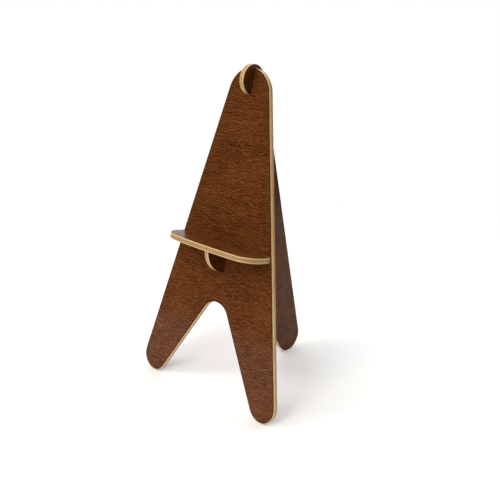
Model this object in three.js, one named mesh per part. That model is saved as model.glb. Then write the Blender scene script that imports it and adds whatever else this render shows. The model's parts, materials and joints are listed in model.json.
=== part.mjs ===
// Wooden artist easel: three plywood plates that slot together without hardware.
//
// Millimetres, +Z up. The easel faces -Y, and its plane of symmetry is x = 0.
// The origin is on the ground, midway between the front-most and the rear-most point of the easel.
//
//   front_panel  an A-shaped plate that leans back
//   rear_leg     an upright plate, square to the panel, hooked over the panel's top
//   shelf        a ledge on the rear leg's tab, held by a tongue in the panel's slot
//
// Many sizes are given in the panel's own directions: "rise" is the distance up the slope from the
// line through the centres of its two feet, and "out" is the distance in front of its front face.

import * as THREE from 'three';

// ---------------------------------------------------------------- driving dimensions

const ply = 18; // thickness of every plate
const gap = 0.3; // clearance where plates touch or cross
const lean = THREE.MathUtils.degToRad(13.1); // of the panel, back from upright

const panelHead = { rise: 960, radius: 86 };
const panelFoot = { side: 256, radius: 52 }; // side: from the middle of the panel
const crotch = { rise: 214, radius: 60 };

const shelf = { rise: 478, depth: 110, side: 196, bow: 11, cornerRadius: 70 }; // rise of its top face
const tongue = { side: 75, reach: 40 }; // reach: past the panel's back

const legHead = { out: -5, rise: 1010, radius: 48 };
const legFoot = { back: 433, radius: 56 }; // back: behind the line of the panel's feet
const legFrontLean = THREE.MathUtils.degToRad(31); // of the leg's lower front edge, from upright
const tab = { rise: 468, radius: 87 };
const tabFilletRadius = 40;
const hookDepth = 17.5; // how far the leg's head reaches down in front of the panel

const arcSteps = 48; // straight steps in each round stretch

// ---------------------------------------------------------------- sizes that follow

const slotHalf = ply / 2 + gap; // half the width of a slot that takes a plate on edge
const shelfUnderside = shelf.rise - ply;
const tabTop = shelfUnderside - gap;
const tabBottom = tab.rise - tab.radius;

// The lowest point of the panel is on the back edge of its feet.
const footLineHeight = panelFoot.radius * Math.cos(lean) + ply * Math.sin(lean);
const frontMost = -panelFoot.radius * Math.sin(lean);
const rearMost = legFoot.back + legFoot.radius;
const footLineY = -(frontMost + rearMost) / 2;

const legHeadCentre = besidePanel(legHead.out, legHead.rise);
const legFootCentre = new THREE.Vector2(footLineY + legFoot.back, legFoot.radius);

// Lowest point of the leg's head where it lies against the panel's front face.
const noseBottom = legHead.rise - Math.sqrt(legHead.radius ** 2 - (gap - legHead.out) ** 2);
const hookRise = noseBottom + hookDepth;
const notchRise = hookRise - gap;

// ---------------------------------------------------------------- geometry helpers

// A point of the side view, as (y, z), from its distance out of the panel's face and its rise.
function besidePanel(out, rise) {
  const y = footLineY + rise * Math.sin(lean) - out * Math.cos(lean);
  const z = footLineHeight + rise * Math.cos(lean) + out * Math.sin(lean);
  return new THREE.Vector2(y, z);
}

// Direction, as an angle, of the straight line that leaves circle a and joins circle b.
// A radius is positive where the outline turns left round the circle, and negative where it turns right.
function tangentDirection(centreA, radiusA, centreB, radiusB) {
  const between = centreB.clone().sub(centreA);
  return between.angle() - Math.asin((radiusB - radiusA) / between.length());
}

// Adds the arc of a circle that starts along one direction and ends along another.
function addTurn(path, centre, radius, startDirection, endDirection) {
  const toLeft = radius > 0;
  const side = toLeft ? -Math.PI / 2 : Math.PI / 2;
  path.absarc(centre.x, centre.y, Math.abs(radius), startDirection + side, endDirection + side, !toLeft);
}

// Adds straight lines through a list of [x, y] corners.
function addCorners(path, corners) {
  for (const [x, y] of corners) {
    path.lineTo(x, y);
  }
}

// Direction of travel, turning left round a circle, at the angle where a point of the circle lies.
function directionAt(angle) {
  return angle + Math.PI / 2;
}

function plate(outline) {
  return new THREE.ExtrudeGeometry(outline, { depth: ply, bevelEnabled: false, curveSegments: arcSteps });
}

function stainedPly(colour) {
  return new THREE.MeshStandardMaterial({ color: colour, roughness: 0.38, metalness: 0 });
}

function namedMesh(name, geometry, colour) {
  const mesh = new THREE.Mesh(geometry, stainedPly(colour));
  mesh.name = name;
  return mesh;
}

// ---------------------------------------------------------------- front panel

// Seen from the front, x to the right and the panel's rise upward, drawn anticlockwise.
function panelOutline() {
  const head = new THREE.Vector2(0, panelHead.rise);
  const rightFoot = new THREE.Vector2(panelFoot.side, 0);
  const leftFoot = new THREE.Vector2(-panelFoot.side, 0);
  const arch = new THREE.Vector2(0, crotch.rise);

  const upRight = tangentDirection(rightFoot, panelFoot.radius, head, panelHead.radius);
  const downLeft = tangentDirection(head, panelHead.radius, leftFoot, panelFoot.radius);
  const upInside = tangentDirection(leftFoot, panelFoot.radius, arch, -crotch.radius);
  const downInside = tangentDirection(arch, -crotch.radius, rightFoot, panelFoot.radius);
  const notchAngle = Math.acos(slotHalf / panelHead.radius);

  const outline = new THREE.Shape();
  addTurn(outline, rightFoot, panelFoot.radius, downInside, upRight);
  addTurn(outline, head, panelHead.radius, upRight, directionAt(notchAngle));
  addCorners(outline, [[slotHalf, notchRise], [-slotHalf, notchRise]]);
  addTurn(outline, head, panelHead.radius, directionAt(Math.PI - notchAngle), downLeft);
  addTurn(outline, leftFoot, panelFoot.radius, downLeft, upInside);
  addTurn(outline, arch, -crotch.radius, upInside, downInside);
  outline.closePath();
  outline.holes.push(panelSlot());
  return outline;
}

// A T-shaped slot: its bar takes the shelf's tongue, and its stem takes the rear leg's tab.
// The stem reaches the top of the bar, so that the leg can rise off its hook once the shelf is out.
function panelSlot() {
  const barHalf = tongue.side + gap;
  const barTop = shelf.rise + gap;
  const barBottom = shelfUnderside - gap;
  const stemBottom = tabBottom - gap;
  const slot = new THREE.Path();
  slot.moveTo(-slotHalf, stemBottom);
  addCorners(slot, [
    [-slotHalf, barBottom],
    [-barHalf, barBottom],
    [-barHalf, barTop],
    [barHalf, barTop],
    [barHalf, barBottom],
    [slotHalf, barBottom],
    [slotHalf, stemBottom],
  ]);
  slot.closePath();
  return slot;
}

function frontPanel() {
  const mesh = namedMesh('front_panel', plate(panelOutline()), 0x64391c);
  mesh.position.z = -ply;
  return mesh;
}

// ---------------------------------------------------------------- shelf

// Seen from above, x to the right and outward from the panel upward, drawn anticlockwise.
// Its front edge is a shallow arc, which meets each straight end in a round corner.
function shelfOutline() {
  const frontRadius = (shelf.side ** 2 + shelf.bow ** 2) / (2 * shelf.bow);
  const frontCentre = new THREE.Vector2(0, shelf.depth - frontRadius);
  const cornerX = shelf.side - shelf.cornerRadius;
  const centreDistance = frontRadius - shelf.cornerRadius;
  const cornerY = frontCentre.y + Math.sqrt(centreDistance ** 2 - cornerX ** 2);
  const rightCorner = new THREE.Vector2(cornerX, cornerY);
  const leftCorner = new THREE.Vector2(-cornerX, cornerY);
  const joinAngle = Math.acos(cornerX / centreDistance);
  const joinRight = directionAt(joinAngle);
  const joinLeft = directionAt(Math.PI - joinAngle);
  const tongueEnd = -ply - tongue.reach;

  const outline = new THREE.Shape();
  addTurn(outline, rightCorner, shelf.cornerRadius, directionAt(0), joinRight);
  addTurn(outline, frontCentre, frontRadius, joinRight, joinLeft);
  addTurn(outline, leftCorner, shelf.cornerRadius, joinLeft, directionAt(Math.PI));
  addCorners(outline, [
    [-shelf.side, gap],
    [-tongue.side, gap],
    [-tongue.side, tongueEnd],
    [-slotHalf, tongueEnd],
    [-slotHalf, -ply],
    [slotHalf, -ply],
    [slotHalf, tongueEnd],
    [tongue.side, tongueEnd],
    [tongue.side, gap],
    [shelf.side, gap],
  ]);
  outline.closePath();
  return outline;
}

function shelfPlate() {
  const mesh = namedMesh('shelf', plate(shelfOutline()), 0x5f371d);
  mesh.rotation.x = Math.PI / 2;
  mesh.position.y = shelf.rise;
  return mesh;
}

// ---------------------------------------------------------------- rear leg

// Where the tab's arc ends and the straight lower front edge begins, a fillet joins the two.
// Its circle touches the tab's circle from outside, and lies in front of the straight edge.
function tabFilletCentre(tabCentre, edgePoint, edgeNormal) {
  const edgeDistance = tabCentre.clone().sub(edgePoint).dot(edgeNormal);
  const along = new THREE.Vector2(-edgeNormal.y, edgeNormal.x);
  const across = tabFilletRadius - edgeDistance;
  const reach = Math.sqrt((tab.radius + tabFilletRadius) ** 2 - across ** 2);
  return tabCentre.clone().addScaledVector(edgeNormal, across).addScaledVector(along, reach);
}

// Seen from the right, y (backward) to the right and z upward, drawn anticlockwise.
function rearLegOutline() {
  const tabCentre = besidePanel(0, tab.rise);
  const upRear = tangentDirection(legFootCentre, legFoot.radius, legHeadCentre, legHead.radius);
  const panelDirection = Math.PI / 2 - lean;

  // The lower front edge runs down and back, touching the foot's circle.
  const downFront = legFrontLean - Math.PI / 2;
  const frontNormal = new THREE.Vector2(-Math.cos(legFrontLean), -Math.sin(legFrontLean));
  const edgePoint = legFootCentre.clone().addScaledVector(frontNormal, legFoot.radius);
  const filletCentre = tabFilletCentre(tabCentre, edgePoint, frontNormal);
  const tabToFillet = filletCentre.clone().sub(tabCentre).angle();

  // Angles at which the head's and the tab's circles are cut off by the panel's face and the shelf.
  const noseAngle = besidePanel(gap, noseBottom).sub(legHeadCentre).angle();
  const tabFront = Math.sqrt(tab.radius ** 2 - (tab.rise - tabTop) ** 2);
  const tabStartAngle = besidePanel(tabFront, tabTop).sub(tabCentre).angle();

  const outline = new THREE.Shape();
  addTurn(outline, legFootCentre, legFoot.radius, downFront, upRear);
  addTurn(outline, legHeadCentre, legHead.radius, upRear, directionAt(noseAngle));
  addCorners(outline, [
    besidePanel(gap, hookRise).toArray(),
    besidePanel(-ply - gap, hookRise).toArray(),
    besidePanel(-ply - gap, tabTop).toArray(),
  ]);
  addTurn(outline, tabCentre, tab.radius, directionAt(tabStartAngle), directionAt(tabToFillet));
  addTurn(outline, filletCentre, -tabFilletRadius, directionAt(tabToFillet), downFront);
  outline.closePath();
  return outline;
}

// The outline's x is the easel's y, its y is the easel's z, and its thickness runs along x.
function rearLeg() {
  const mesh = namedMesh('rear_leg', plate(rearLegOutline()), 0x50392a);
  mesh.rotation.set(Math.PI / 2, Math.PI / 2, 0);
  mesh.position.x = -ply / 2;
  return mesh;
}

// ---------------------------------------------------------------- assembly

// In the leaning group x is across the easel, y is the panel's rise and z is out of its face.
const leaning = new THREE.Group();
leaning.rotation.x = Math.PI / 2 - lean;
leaning.position.set(0, footLineY, footLineHeight);
leaning.add(frontPanel(), shelfPlate());

const easel = new THREE.Group();
easel.add(leaning, rearLeg());

export default easel;
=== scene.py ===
"""Looks for a wooden artist easel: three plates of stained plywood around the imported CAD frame.

Lengths are in metres. Each plate is built flat in a frame of its own and then set down where its CAD
node is. In that frame x runs along the face veneer's grain, y across it, and z through the thickness,
so the same two materials, with each plate's own tones, can be driven by the plate's own coordinates.
"""

import json
import math

import bmesh
import bpy
import numpy as np
from mathutils import Matrix, Vector, noise
from mathutils.geometry import delaunay_2d_cdt


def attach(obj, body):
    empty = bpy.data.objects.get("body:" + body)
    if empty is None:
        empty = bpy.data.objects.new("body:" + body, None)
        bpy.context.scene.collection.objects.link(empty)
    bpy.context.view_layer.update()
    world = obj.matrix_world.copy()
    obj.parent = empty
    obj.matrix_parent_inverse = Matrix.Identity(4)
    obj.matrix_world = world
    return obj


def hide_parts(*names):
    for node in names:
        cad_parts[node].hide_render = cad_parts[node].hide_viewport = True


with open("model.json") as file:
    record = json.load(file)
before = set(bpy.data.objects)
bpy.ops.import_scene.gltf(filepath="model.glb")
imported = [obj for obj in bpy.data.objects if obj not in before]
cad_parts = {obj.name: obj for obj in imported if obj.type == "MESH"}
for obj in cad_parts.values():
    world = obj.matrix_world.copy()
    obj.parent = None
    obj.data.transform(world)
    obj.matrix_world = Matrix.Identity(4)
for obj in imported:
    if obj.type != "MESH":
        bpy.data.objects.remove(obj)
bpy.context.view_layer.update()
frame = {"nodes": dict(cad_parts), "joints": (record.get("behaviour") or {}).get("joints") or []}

# The shelf slides straight out of the panel's face, so its joint gives the panel's directions.
ACROSS = Vector((1.0, 0.0, 0.0))
OUT = Vector(frame["joints"][0]["axis"]).normalized()
RISE = OUT.cross(ACROSS)
UP = Vector((0.0, 0.0, 1.0))
FORWARD = Vector((0.0, -1.0, 0.0))

MM = 0.001

# For each CAD node, the plate that stands for it:
#   body           the body that it rides on
#   along, across  directions of its face veneer's grain, and at right angles to the grain
#   stain          how pale its stain is, where less than 1 is darker
#   margin         how pale the stain is along its outline, as a share of that
#   plies          how pale each ply is, from the face in front to the face behind; on the shelf and the panel this is partly painted light
PLATES = {
    "front_panel": {
        "body": "stand",
        "along": ACROSS,
        "across": RISE,
        "stain": 1.0,
        "margin": 0.25,
        # The dark fifth and sixth plies are partly ply type and partly painted shade, for the back half of
        # the edge that gets less light than the front.
        "plies": (1.3, 1.5, 1.5, 1.2, 0.74, 0.80, 1.4),
    },
    "rear_leg": {
        "body": "stand",
        "along": UP,
        "across": FORWARD,
        "stain": 0.8,
        "margin": 0.25,
        "plies": (1.2, 1.5, 1.6, 0.60, 1.5, 1.1, 1.0),
    },
    "shelf": {
        "body": "ledge",
        "along": OUT,
        "across": ACROSS,
        "stain": 1.0,
        "margin": 0.80,
        # The shelf's outer tones (2.0 and 1.65 at the front, 2.0 at the back) are partly the pale veneer
        # edge and partly a painted highlight, where the rounded, lacquered corners catch the light.
        "plies": (2.0, 1.65, 0.76, 0.84, 0.80, 1.12, 2.0),
    },
}

# ---------------------------------------------------------------- plate geometry

EASING = 1.1 * MM  # radius that rounds a plate's edges
EASING_STEPS = 4
EASING_SWING = 0.35  # share by which hand sanding changes that radius along the edge
EASING_WAVE = 0.09  # length of that change
FACE_VENEER = 1.0 * MM
INNER_PLIES = 5
GLUE_GROOVE = 0.09 * MM  # depth of the fine groove at each glue line
GLUE_WIDTH = 0.4 * MM
PLY_RECESS = 0.07 * MM  # every other ply is sanded a little deeper
RING_INSETS = (2.6 * MM, 5.0 * MM, 8.5 * MM)  # rings of points inside the outline
RING_CLEARANCE = 0.97  # share of its inset that a ring's point keeps from every edge
EDGE_STEP = 9 * MM  # longest step along an outline
GRID_STEP = 12 * MM  # spacing of the points inside a face
WAVINESS = 0.16 * MM  # how far a face dips between its edges
WAVE_LENGTH = 0.075
WELD = 0.01 * MM  # points nearer than this are one point
TRIANGULATION_TOLERANCE = 1e-8
FILL_OUTLINES = 1  # the triangulation fills all that the given edges enclose, slots too
SMALLEST_MITRE = 0.5  # keeps the offset of a sharp corner from running away
CREASE = math.radians(50)  # edges sharper than this stay sharp in the shading
VENEER, PLIES = 0, 1  # a plate's material slots
EDGE_DISTANCE = "edge_distance"  # attribute: how far a point is from the plate's outline


def plate_frame(along, across):
    """Rotation from a plate's own frame to the easel's."""
    return Matrix((along, across, along.cross(across))).transposed().to_4x4()


def cad_plate(node, rotation):
    """The CAD node's loops in the plate's frame, the middle of its thickness, and its thickness."""
    solid = bmesh.new()
    solid.from_mesh(frame["nodes"][node].data)
    bmesh.ops.transform(solid, matrix=rotation.inverted(), verts=solid.verts)
    bmesh.ops.remove_doubles(solid, verts=solid.verts, dist=WELD)
    heights = [v.co.z for v in solid.verts]
    low, high = min(heights), max(heights)
    top = {f for f in solid.faces if all(abs(v.co.z - high) < WELD for v in f.verts)}
    following = {}
    for face in top:
        for loop in face.loops:
            if not all(f in top for f in loop.edge.link_faces):
                start, end = loop.vert, loop.link_loop_next.vert
                following[start.index] = (start.co.xy.copy(), end.index)
    solid.free()
    return walk_loops(following), (low + high) / 2, high - low


def walk_loops(following):
    """Closed loops of points, from a table of each point and the one after it."""
    loops = []
    while following:
        first = index = min(following)
        points = []
        while index in following:
            point, index = following.pop(index)
            points.append(point)
        assert index == first, "an outline isn't closed"
        loops.append(points)
    return loops


def with_short_steps(points):
    """The same loop with its long straight lines cut into steps."""
    result = []
    for start, end in zip(points, points[1:] + points[:1]):
        count = max(1, math.ceil((end - start).length / EDGE_STEP))
        result += [start.lerp(end, k / count) for k in range(count)]
    return result


def inward_directions(points):
    """At each point of a loop, the move into the wood that shifts both of its lines by 1."""
    result = []
    for before, point, after in zip(points[-1:] + points[:-1], points, points[1:] + points[:1]):
        first = (point - before).normalized()
        second = (after - point).normalized()
        left_first = Vector((-first.y, first.x))
        left_second = Vector((-second.y, second.x))
        mitre = (left_first + left_second) / max(SMALLEST_MITRE, 1 + left_first.dot(left_second))
        result.append(mitre)
    return result


def ply_depths(thickness):
    """Depth below the front face of each glue line."""
    ply = (thickness - 2 * FACE_VENEER) / INNER_PLIES
    return [FACE_VENEER + k * ply for k in range(INNER_PLIES + 1)]


def edge_profile(thickness):
    """Section of a plate's edge from its front face to its back, as (share of easing, inset, depth)."""
    corner = []
    for k in range(EASING_STEPS + 1):
        angle = math.pi / 2 * k / EASING_STEPS
        corner.append((1 - math.sin(angle), 1 - math.cos(angle)))
    front = [(inset, 0.0, depth * EASING) for inset, depth in corner]
    back = [(inset, 0.0, thickness - depth * EASING) for inset, depth in reversed(corner)]
    middle = []
    for number, line in enumerate(ply_depths(thickness)):
        above = PLY_RECESS if number % 2 else 0.0
        below = 0.0 if number % 2 else PLY_RECESS
        if number:
            middle.append((0.0, above, line - GLUE_WIDTH / 2))
        middle.append((0.0, GLUE_GROOVE + PLY_RECESS, line))
        if number < INNER_PLIES:
            middle.append((0.0, below, line + GLUE_WIDTH / 2))
    inside = [p for p in middle if EASING < p[2] < thickness - EASING]
    return front + inside + back


def edge_band(solid, points, profile, top):
    """Sweeps the edge's section round one loop. Returns the face's and the back's rim of points."""
    directions = inward_directions(points)
    rings = []
    for eased, inset, depth in profile:
        ring = []
        for point, inward in zip(points, directions):
            wave = noise.noise((point / EASING_WAVE).to_3d())
            sanded = EASING * eased * (1 + EASING_SWING * wave)
            place = point + inward * (sanded + inset)
            ring.append(solid.verts.new((place.x, place.y, top - depth)))
        rings.append(ring)
    for upper, lower in zip(rings, rings[1:]):
        for k in range(len(points)):
            after = (k + 1) % len(points)
            face = solid.faces.new((upper[k], lower[k], lower[after], upper[after]))
            face.material_index = PLIES
    return [v.co.xy.copy() for v in rings[0]], [v.co.xy.copy() for v in rings[-1]]


def lines_of(loops):
    """Start and end of every line of the loops."""
    for loop in loops:
        yield from zip(loop, loop[1:] + loop[:1])


def distances_to(loops, points):
    """Distance of each point from the nearest line of the loops."""
    places = np.array([tuple(p) for p in points])
    nearest = np.full(len(places), np.inf)
    for start, end in lines_of(loops):
        span = np.array(end - start)
        share = np.clip((places - start) @ span / (span @ span), 0, 1)
        gaps = places - start - share[:, None] * span
        nearest = np.minimum(nearest, np.hypot(gaps[:, 0], gaps[:, 1]))
    return nearest


def are_inside(loops, points):
    """For each point, whether it lies on the plate: inside its outline and outside its holes."""
    x, y = np.array([tuple(p) for p in points]).T
    inside = np.zeros(len(x), bool)
    for a, b in lines_of(loops):
        if a.y != b.y:
            crosses = (a.y > y) != (b.y > y)
            inside ^= crosses & (x < a.x + (y - a.y) / (b.y - a.y) * (b.x - a.x))
    return inside


def points_inside(loops, points, clearance):
    """The points that lie on the plate and further than the clearance from its edges."""
    fits = (distances_to(loops, points) > clearance) & are_inside(loops, points)
    return [point for point, fit in zip(points, fits) if fit]


def inner_points(loops):
    """Points on the face for its mesh: rings that follow the outline, and a triangular grid inside."""
    result = []
    for inset in RING_INSETS:
        ring = []
        for loop in loops:
            ring += [p + n * inset for p, n in zip(loop, inward_directions(loop))]
        result += points_inside(loops, ring, RING_CLEARANCE * inset)
    outline = loops[0]
    left, right = min(p.x for p in outline), max(p.x for p in outline)
    low, high = min(p.y for p in outline), max(p.y for p in outline)
    grid = []
    for row in range(math.ceil((high - low) / GRID_STEP)):
        start = left + GRID_STEP / 2 * (row % 2)
        for column in range(math.ceil((right - left) / GRID_STEP)):
            grid.append(Vector((start + column * GRID_STEP, low + row * GRID_STEP)))
    return result + points_inside(loops, grid, RING_INSETS[-1] + GRID_STEP / 2)


def add_face(solid, rims, extra, height, facing):
    """Fills one face of the plate with even triangles, which dip a little away from the edges."""
    points = [p for rim in rims for p in rim] + extra
    edges = []
    for rim in rims:
        first = len(edges)
        edges += [(first + k, first + (k + 1) % len(rim)) for k in range(len(rim))]
    places, _, triangles, *_ = delaunay_2d_cdt(points, edges, [], FILL_OUTLINES, TRIANGULATION_TOLERANCE)
    gaps = distances_to(rims, places)
    verts = []
    for place, gap in zip(places, gaps):
        wave = 0.5 + noise.noise((place.x / WAVE_LENGTH, place.y / WAVE_LENGTH, facing))
        dip = WAVINESS * min(1.0, gap / RING_INSETS[-1]) * min(1.0, max(0.0, wave))
        verts.append(solid.verts.new((place.x, place.y, height - facing * dip)))
    middles = [(places[a] + places[b] + places[c]) / 3 for a, b, c in triangles]
    for triangle, kept in zip(triangles, are_inside(rims, middles)):
        if kept:
            corners = triangle if facing > 0 else reversed(triangle)
            face = solid.faces.new([verts[k] for k in corners])
            face.material_index = VENEER
    for vert in verts:
        if not vert.link_faces:
            solid.verts.remove(vert)


def plate_mesh(name, loops, thickness):
    """A closed mesh of one plate: two faces of veneer, and a band of plies round each edge.

    The first loop is the plate's outline, and the others are its slots.
    """
    solid = bmesh.new()
    top = thickness / 2
    profile = edge_profile(thickness)
    rims = [edge_band(solid, loop, profile, top) for loop in loops]
    extra = inner_points(loops)
    add_face(solid, [front for front, back in rims], extra, top, 1)
    add_face(solid, [back for front, back in rims], extra, -top, -1)
    bmesh.ops.remove_doubles(solid, verts=solid.verts, dist=WELD)
    for face in solid.faces:
        face.smooth = True
    mesh = bpy.data.meshes.new(name)
    solid.to_mesh(mesh)
    solid.free()
    mesh.set_sharp_from_angle(angle=CREASE)
    distance = mesh.attributes.new(EDGE_DISTANCE, "FLOAT", "POINT")
    distance.data.foreach_set("value", distances_to(loops[:1], [v.co.xy for v in mesh.vertices]))
    return mesh


# ---------------------------------------------------------------- shader nodes


class Shader:
    """A material's nodes, with a short call for each kind that the easel needs."""

    def __init__(self, name):
        self.material = bpy.data.materials.new(name)
        self.material.use_nodes = True
        self.tree = self.material.node_tree
        self.tree.nodes.clear()
        self.surface = self.tree.nodes.new("ShaderNodeBsdfPrincipled")
        output = self.tree.nodes.new("ShaderNodeOutputMaterial")
        self.tree.links.new(self.surface.outputs["BSDF"], output.inputs["Surface"])
        coordinates = self.tree.nodes.new("ShaderNodeTexCoord")
        self.place = coordinates.outputs["Object"]
        self.normal = coordinates.outputs["Normal"]

    def put(self, value, socket):
        """Gives a socket a number or colour of its own, or joins another node's output to it."""
        if isinstance(value, bpy.types.NodeSocket):
            self.tree.links.new(value, socket)
        else:
            socket.default_value = value

    def set_surface(self, **values):
        for name, value in values.items():
            self.put(value, self.surface.inputs[name.replace("_", " ")])

    def maths(self, operation, first, second=0.0):
        node = self.tree.nodes.new("ShaderNodeMath")
        node.operation = operation
        self.put(first, node.inputs[0])
        self.put(second, node.inputs[1])
        return node.outputs[0]

    def times(self, first, second):
        return self.maths("MULTIPLY", first, second)

    def plus(self, first, second):
        return self.maths("ADD", first, second)

    def minus(self, first, second):
        return self.maths("SUBTRACT", first, second)

    def sine(self, cycles):
        return self.maths("SINE", self.times(cycles, 2 * math.pi))

    def vector_maths(self, operation, first, second):
        node = self.tree.nodes.new("ShaderNodeVectorMath")
        node.operation = operation
        self.put(first, node.inputs[0])
        self.put(second, node.inputs[1])
        return node.outputs[0]

    def noise(self, waves, detail=2.0, roughness=0.5, place=None, output="Fac"):
        """Noise around 0.5, with so many waves to the metre along x, y and z."""
        node = self.tree.nodes.new("ShaderNodeTexNoise")
        stretched = self.vector_maths("MULTIPLY", place or self.place, waves)
        self.put(stretched, node.inputs["Vector"])
        node.inputs["Scale"].default_value = 1.0
        node.inputs["Detail"].default_value = detail
        node.inputs["Roughness"].default_value = roughness
        return node.outputs[output]

    def warped(self, waves, reach):
        """The place, pushed about by noise, so that grain drawn there is wavy."""
        drift = self.noise((waves,) * 3, output="Color")
        centred = self.vector_maths("SUBTRACT", drift, (0.5, 0.5, 0.5))
        push = self.vector_maths("MULTIPLY", centred, (reach,) * 3)
        return self.vector_maths("ADD", self.place, push)

    def between(self, value, low, high, start=0.0, end=1.0):
        """Goes smoothly from start to end as the value goes from low to high."""
        node = self.tree.nodes.new("ShaderNodeMapRange")
        node.interpolation_type = "SMOOTHSTEP"
        for number, setting in enumerate((value, low, high, start, end)):
            self.put(setting, node.inputs[number])
        return node.outputs[0]

    def mix(self, share, first, second):
        """A mix of two colours. The Mix node keeps sockets 6 and 7 and output 2 for colours."""
        node = self.tree.nodes.new("ShaderNodeMix")
        node.data_type = "RGBA"
        self.put(share, node.inputs[0])
        self.put(first, node.inputs[6])
        self.put(second, node.inputs[7])
        return node.outputs[2]

    def scaled(self, colour, share):
        """The colour times a number."""
        return self.vector_maths("MULTIPLY", colour, self.triple(share))

    def triple(self, share):
        node = self.tree.nodes.new("ShaderNodeCombineXYZ")
        for socket in node.inputs:
            self.put(share, socket)
        return node.outputs[0]

    def axis(self, vector, number):
        node = self.tree.nodes.new("ShaderNodeSeparateXYZ")
        self.put(vector, node.inputs[0])
        return node.outputs[number]

    def attribute(self, name):
        node = self.tree.nodes.new("ShaderNodeAttribute")
        node.attribute_name = name
        return node.outputs["Fac"]

    def ramp(self, value, stops, interpolation="LINEAR"):
        node = self.tree.nodes.new("ShaderNodeValToRGB")
        elements = node.color_ramp.elements
        node.color_ramp.interpolation = interpolation
        while len(elements) < len(stops):
            elements.new(0.5)
        for element, (position, colour) in zip(elements, stops):
            element.position = position
            element.color = colour
        self.put(value, node.inputs[0])
        return node.outputs["Color"]

    def bump(self, height, distance):
        node = self.tree.nodes.new("ShaderNodeBump")
        node.inputs["Distance"].default_value = distance
        self.put(height, node.inputs["Height"])
        return node.outputs["Normal"]


def grey(level):
    return (level, level, level, 1.0)


SPREAD = (0.3, 0.7)  # most of a noise's values lie between these

# Where handling has rubbed the finish off a corner: patches of noise, the same on faces and edges.
# Each pair of thresholds is where a patch starts and where it is whole.
RUBS = {"waves": (60, 60, 60), "detail": 4, "roughness": 0.7}
FACE_RUBS = (0.56, 0.70)
EDGE_RUBS = (0.50, 0.66)

# ---------------------------------------------------------------- stained veneer

STAIN_DARK = (0.066, 0.0145, 0.0018, 1.0)
STAIN_MIDDLE = (0.104, 0.0262, 0.0034, 1.0)
STAIN_LIGHT = (0.140, 0.0400, 0.0068, 1.0)
FLECK = (0.245, 0.0980, 0.0300, 1.0)
PORE = (0.016, 0.0038, 0.0008, 1.0)
RUBBED = (0.370, 0.2000, 0.0830, 1.0)

STAIN_CLOUDS = {"waves": (7, 11, 11), "detail": 3, "roughness": 0.55}
STAIN_BANDS = {"waves": (5, 60, 60), "detail": 3, "roughness": 0.6}
CLOUD_SHARE = 0.6  # of the stain's unevenness, and the bands make the rest
STAIN_STOPS = [(0.32, STAIN_DARK), (0.5, STAIN_MIDDLE), (0.68, STAIN_LIGHT)]

GRAIN_WAVES = 6  # to the metre, in which the grain's lines wander
GRAIN_REACH = 0.012
FLECK_LINES = 140  # to the metre, across the grain
FLECK_DRIFT = {"waves": (26, 44, 44), "detail": 1}  # bends the flecks
FLECK_DRIFT_CYCLES = 2.4
FLECK_BREAKS = {"waves": (80, 120, 120), "detail": 1}  # cuts them short
FLECK_ENDS = (0.36, 0.64)  # values of that noise at which a fleck is gone, and whole
FLECK_STRENGTH = 0.70
FIBRES = {"waves": (34, 900, 900), "detail": 4, "roughness": 0.72}
FIBRE_STRENGTH = 5.4
FULL_FIGURE = 1.15  # figure at which a fleck or a pore has its whole colour
PORE_STRENGTH = 0.9
FIGURE_RELIEF = 0.04 * MM

MARGIN = (2.0 * MM, 5.5 * MM)  # how far from the outline the gathered stain starts to fade, and ends
RUB_REACH = (0.9 * MM, 2.2 * MM)  # the same for the rubbed corner
RUB_STRENGTH = 0.55

DUST = {"waves": (35, 35, 35), "detail": 4, "roughness": 0.65}
LACQUER_WAVES = {"waves": (60, 90, 90), "detail": 2}
LACQUER_RELIEF = 0.08 * MM
VENEER_ROUGHNESS = (0.36, 0.54)
VENEER_COAT = (0.12, 0.36)  # the lacquer is thinner over the pores


def uneven_stain(s, wavy):
    """Colour of the stain, which takes unevenly: broad clouds, and faint bands along the grain."""
    clouds = s.noise(**STAIN_CLOUDS)
    bands = s.noise(**STAIN_BANDS, place=wavy)
    blend = s.plus(s.times(clouds, CLOUD_SHARE), s.times(bands, 1 - CLOUD_SHARE))
    return s.ramp(blend, STAIN_STOPS)


def veneer_figure(s, wavy):
    """Height of the veneer's figure, around 0: short wavy flecks along the grain, and fine fibres."""
    drift = s.times(s.noise(**FLECK_DRIFT), FLECK_DRIFT_CYCLES)
    lines = s.sine(s.plus(s.times(s.axis(s.place, 1), FLECK_LINES), drift))
    ripple = s.times(lines, s.between(s.noise(**FLECK_BREAKS), *FLECK_ENDS))
    fibres = s.minus(s.noise(**FIBRES, place=wavy), 0.5)
    return s.plus(s.times(ripple, FLECK_STRENGTH), s.times(fibres, FIBRE_STRENGTH))


def worn_margin(s, colour, margin):
    """The colour with stain gathered along the plate's outline, and the corner rubbed pale in places."""
    edge = s.attribute(EDGE_DISTANCE)
    gathered = s.scaled(colour, s.between(edge, *MARGIN, margin, 1.0))
    reach = s.between(edge, *RUB_REACH, 1.0, 0.0)
    rub = s.times(s.between(s.noise(**RUBS), *FACE_RUBS), reach)
    return s.mix(s.times(rub, RUB_STRENGTH), gathered, RUBBED)


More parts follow.
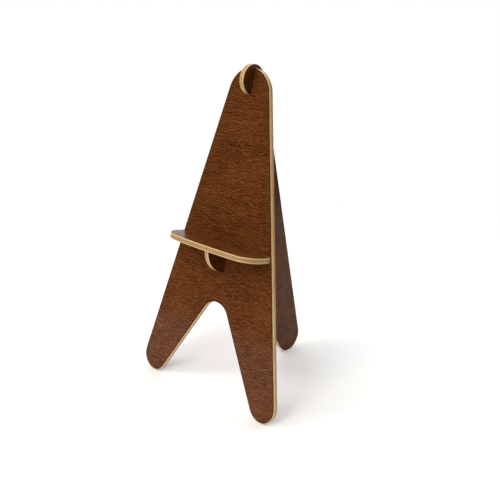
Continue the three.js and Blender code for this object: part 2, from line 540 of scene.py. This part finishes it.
def stained_veneer(name, stain, margin):
    """Face of a plate: birch veneer with a red-brown stain under clear lacquer."""
    s = Shader(name)
    wavy = s.warped(GRAIN_WAVES, GRAIN_REACH)
    figure = veneer_figure(s, wavy)

    # Raised figure takes less stain, and low figure holds more.
    flecks = s.between(figure, 0.0, FULL_FIGURE)
    pores = s.between(figure, 0.0, -FULL_FIGURE)
    colour = s.mix(flecks, uneven_stain(s, wavy), FLECK)
    colour = s.mix(s.times(pores, PORE_STRENGTH), colour, PORE)
    colour = worn_margin(s, s.scaled(colour, stain), margin)

    s.set_surface(
        Base_Color=colour,
        Roughness=s.between(s.noise(**DUST), *SPREAD, *VENEER_ROUGHNESS),
        Specular_IOR_Level=0.04,
        Coat_Weight=s.between(figure, -1.0, 1.0, *VENEER_COAT),
        Coat_Roughness=0.12,
        Normal=s.bump(figure, FIGURE_RELIEF),
        Coat_Normal=s.bump(s.noise(**LACQUER_WAVES), LACQUER_RELIEF),
    )
    return s.material


# ---------------------------------------------------------------- bare plies

PLY_LONG = (0.545, 0.348, 0.150, 1.0)  # a ply cut along its grain
PLY_END = (0.440, 0.270, 0.100, 1.0)  # a ply cut across its grain
VENEER_EDGE = (0.070, 0.0260, 0.0065, 1.0)
GLUE = 0.55  # how pale a glue line is, as a share of the ply's tone
GLUE_LINE = 0.18 * MM  # width of the glue's colour

STREAKS = {"waves": (26, 26, 2200), "detail": 3, "roughness": 0.6}  # along each ply
STREAK_TONES = (0.86, 1.12)
SPECKS = {"waves": (1500, 1500, 1500), "detail": 1}  # where the grain is cut across
SPECK_RIMS = (0.52, 0.66)  # values of that noise where a speck starts and is whole
SPECK_STRENGTH = 0.28
PLY_CLOUDS = {"waves": (14, 14, 60), "detail": 3}
PLY_CLOUD_TONES = (0.90, 1.08)
PLY_ROUGHNESS = (0.46, 0.62)
PLY_RELIEF = 0.06 * MM
STREAK_HEIGHT, SPECK_DEPTH = 0.6, 0.5  # as shares of that relief

STAIN_DEPTH = 0.5 * MM  # how far the face's stain shows over the corner
STAIN_FADE = 0.12 * MM
STAIN_RUBBED = 0.6  # share of that depth lost where the corner is rubbed
STAIN_COVER = 0.9


def ply_stops(thickness, tones):
    """Stops for a ramp through the thickness: each ply's tone, with a dark glue line between plies."""
    lines = [depth / thickness for depth in ply_depths(thickness)]
    half = GLUE_LINE / 2 / thickness
    stops = []
    starts = [0.0] + lines
    ends = lines + [1.0]
    for start, end, tone in zip(starts, ends, tones):
        if start > 0:
            stops.append((start, grey(GLUE * tone)))
            start += half
        stops.append((start, grey(tone)))
        stops.append((end - half if end < 1 else 1.0, grey(tone)))
    return stops


def long_grain_share(s, through, thickness):
    """1 where the edge shows a ply's long grain, and 0 where it shows its end grain.

    Odd plies have their grain along x and even plies along y. An edge whose normal is along y runs
    along x, so it shows the odd plies' long grain and the even plies' end grain.
    """
    starts = [0.0] + [depth / thickness for depth in ply_depths(thickness)]
    odd = s.ramp(through, [(at, grey(1.0 - k % 2)) for k, at in enumerate(starts)], "CONSTANT")
    odd_share = s.axis(odd, 0)
    facing_x = s.maths("POWER", s.axis(s.normal, 0), 2.0)
    facing_y = s.maths("POWER", s.axis(s.normal, 1), 2.0)
    return s.plus(s.times(odd_share, facing_y), s.times(s.minus(1.0, odd_share), facing_x))


def stained_corner(s, colour, z, thickness):
    """The colour with the face's stain as a dark line at each corner, rubbed through in places."""
    from_face = s.minus(thickness / 2, s.maths("ABSOLUTE", z))
    rub = s.between(s.noise(**RUBS), *EDGE_RUBS)
    depth = s.times(s.minus(1.0, s.times(rub, STAIN_RUBBED)), STAIN_DEPTH)
    stained = s.between(s.minus(from_face, depth), 0.0, STAIN_FADE, 1.0, 0.0)
    return s.mix(s.times(stained, STAIN_COVER), colour, VENEER_EDGE)


def ply_edge(name, thickness, tones):
    """Edge of a plate: bare birch plies, alternately along and across the grain, under thin lacquer."""
    s = Shader(name)
    z = s.axis(s.place, 2)
    through = s.maths("DIVIDE", s.minus(thickness / 2, z), thickness)
    long_grain = long_grain_share(s, through, thickness)
    colour = s.mix(long_grain, PLY_END, PLY_LONG)
    # These tones carry some painted light: a painted highlight on the shelf's rounded corners, and painted
    # shade on the back half of the panel's edge.
    colour = s.vector_maths("MULTIPLY", colour, s.ramp(through, ply_stops(thickness, tones)))

    streaks = s.noise(**STREAKS)
    colour = s.scaled(colour, s.between(streaks, *SPREAD, *STREAK_TONES))
    specks = s.times(s.between(s.noise(**SPECKS), *SPECK_RIMS), s.minus(1.0, long_grain))
    colour = s.scaled(colour, s.minus(1.0, s.times(specks, SPECK_STRENGTH)))
    colour = s.scaled(colour, s.between(s.noise(**PLY_CLOUDS), *SPREAD, *PLY_CLOUD_TONES))
    colour = stained_corner(s, colour, z, thickness)

    relief = s.minus(s.times(streaks, STREAK_HEIGHT), s.times(specks, SPECK_DEPTH))
    s.set_surface(
        Base_Color=colour,
        Roughness=s.between(streaks, *SPREAD, *PLY_ROUGHNESS),
        Specular_IOR_Level=0.3,
        Coat_Weight=0.45,
        Coat_Roughness=0.22,
        Normal=s.bump(relief, PLY_RELIEF),
    )
    return s.material


# ---------------------------------------------------------------- the easel


def make_plate(node, plan):
    """One plate of the easel, which stands for its CAD node and rides on its body."""
    rotation = plate_frame(plan["along"], plan["across"])
    outline, middle, thickness = cad_plate(node, rotation)
    loops = [with_short_steps(points) for points in outline]
    loops.sort(key=len, reverse=True)
    mesh = plate_mesh(f"{node}_plate", loops, thickness)
    mesh.materials.append(stained_veneer(f"{node}_veneer", plan["stain"], plan["margin"]))
    mesh.materials.append(ply_edge(f"{node}_plies", thickness, plan["plies"]))
    plate = bpy.data.objects.new(f"{node}_plate", mesh)
    bpy.context.scene.collection.objects.link(plate)
    plate.matrix_world = rotation @ Matrix.Translation((0, 0, middle))
    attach(plate, plan["body"])
    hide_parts(node)


def make_easel():
    for node, plan in PLATES.items():
        make_plate(node, plan)


# ---------------------------------------------------------------- floor, light and camera

CAMERA_AIM = Vector((0.0, -0.013, 0.462))
CAMERA_DISTANCE = 2.667
CAMERA_AZIMUTH = math.radians(42.60)
CAMERA_ELEVATION = math.radians(21.27)
CAMERA_LENS = 56.25  # mm
CAMERA_SENSOR = 36.0  # mm

FLOOR_RADIUS = 2.0  # small, so that the panel's foot mirrors it and the panel's top doesn't
FLOOR_SIDES = 96
FLOOR_COLOUR = (0.95, 0.945, 0.935, 1.0)

# The room that the lacquer mirrors. Each pair gives where a change starts and ends, as a value of
# the direction's x, y or z.
ROOM_FRONT = 0.05  # brightness low down in front
ROOM_BACK_LEFT = 1.8  # low down behind, on the left
ROOM_BACK_RIGHT = 0.12  # low down behind, on the right
ROOM_TOP = 1.7  # overhead
LEFT_TO_RIGHT = (-0.30, 0.30)
FRONT_TO_BACK = (-0.10, 0.60)
LOW_TO_TOP = (0.40, 0.85)
BACKDROP = (1.0, 1.0, 1.0, 1.0)  # the room as the camera sees it, past the floor

# name of the softbox: where it is, the side of its square, its watts and its colour
SOFTBOXES = {
    "key": ((-1.9, -2.2, 2.9), 1.2, 34, (1.0, 0.96, 0.90)),
    "front": ((0.45, -3.1, 2.1), 1.3, 42, (1.0, 0.97, 0.92)),
    "side": ((1.9, 1.5, 1.3), 1.3, 8, (1.0, 0.97, 0.92)),
}


def floor_paint():
    s = Shader("floor")
    s.set_surface(Base_Color=FLOOR_COLOUR, Roughness=0.7, Specular_IOR_Level=0.2)
    return s.material


def make_floor():
    disc = bmesh.new()
    bmesh.ops.create_circle(disc, cap_ends=True, segments=FLOOR_SIDES, radius=FLOOR_RADIUS)
    mesh = bpy.data.meshes.new("floor")
    disc.to_mesh(mesh)
    disc.free()
    mesh.materials.append(floor_paint())
    floor = bpy.data.objects.new("floor", mesh)
    bpy.context.scene.collection.objects.link(floor)


def make_lights():
    """Square area lights that look at the easel."""
    for name, (place, side, watts, colour) in SOFTBOXES.items():
        lamp = bpy.data.lights.new(name, "AREA")
        lamp.size = side
        lamp.energy = watts
        lamp.color = colour
        box = bpy.data.objects.new(name, lamp)
        box.location = place
        box.rotation_euler = (CAMERA_AIM - Vector(place)).to_track_quat("-Z", "Y").to_euler()
        bpy.context.scene.collection.objects.link(box)


def make_world():
    """A studio that is pale overhead and behind on the left, and dark in front and behind on the right."""
    world = bpy.data.worlds.new("studio")
    bpy.context.scene.world = world
    world.use_nodes = True
    nodes, links = world.node_tree.nodes, world.node_tree.links
    nodes.clear()
    direction = nodes.new("ShaderNodeSeparateXYZ")
    links.new(nodes.new("ShaderNodeTexCoord").outputs["Generated"], direction.inputs[0])

    def rising(axis, reach, start, end):
        node = nodes.new("ShaderNodeMapRange")
        node.interpolation_type = "SMOOTHSTEP"
        links.new(direction.outputs[axis], node.inputs[0])
        for socket, setting in zip(node.inputs[1:5], (*reach, start, end)):
            socket.default_value = setting
        return node.outputs[0]

    def blend(share, first, second):
        node = nodes.new("ShaderNodeMix")
        links.new(share, node.inputs[0])
        for value, socket in ((first, node.inputs[2]), (second, node.inputs[3])):
            if isinstance(value, float):
                socket.default_value = value
            else:
                links.new(value, socket)
        return node.outputs[0]

    back_wall = rising("X", LEFT_TO_RIGHT, ROOM_BACK_LEFT, ROOM_BACK_RIGHT)
    low = blend(rising("Y", FRONT_TO_BACK, 0.0, 1.0), ROOM_FRONT, back_wall)
    room = nodes.new("ShaderNodeBackground")
    links.new(blend(rising("Z", LOW_TO_TOP, 0.0, 1.0), low, ROOM_TOP), room.inputs["Strength"])
    seen = nodes.new("ShaderNodeBackground")
    seen.inputs["Color"].default_value = BACKDROP
    path = nodes.new("ShaderNodeLightPath")
    chosen = nodes.new("ShaderNodeMixShader")
    links.new(path.outputs["Is Camera Ray"], chosen.inputs[0])
    links.new(room.outputs[0], chosen.inputs[1])
    links.new(seen.outputs[0], chosen.inputs[2])
    output = nodes.new("ShaderNodeOutputWorld")
    links.new(chosen.outputs[0], output.inputs["Surface"])


def make_camera():
    back = Vector((
        math.sin(CAMERA_AZIMUTH) * math.cos(CAMERA_ELEVATION),
        -math.cos(CAMERA_AZIMUTH) * math.cos(CAMERA_ELEVATION),
        math.sin(CAMERA_ELEVATION),
    ))
    data = bpy.data.cameras.new("camera")
    data.lens = CAMERA_LENS
    data.sensor_width = CAMERA_SENSOR
    camera = bpy.data.objects.new("camera", data)
    camera.location = CAMERA_AIM + CAMERA_DISTANCE * back
    camera.rotation_euler = (-back).to_track_quat("-Z", "Y").to_euler()
    bpy.context.scene.collection.objects.link(camera)
    bpy.context.scene.camera = camera


make_camera()
make_world()
make_lights()
make_floor()
make_easel()
bpy.context.scene.view_settings.view_transform = "Standard"
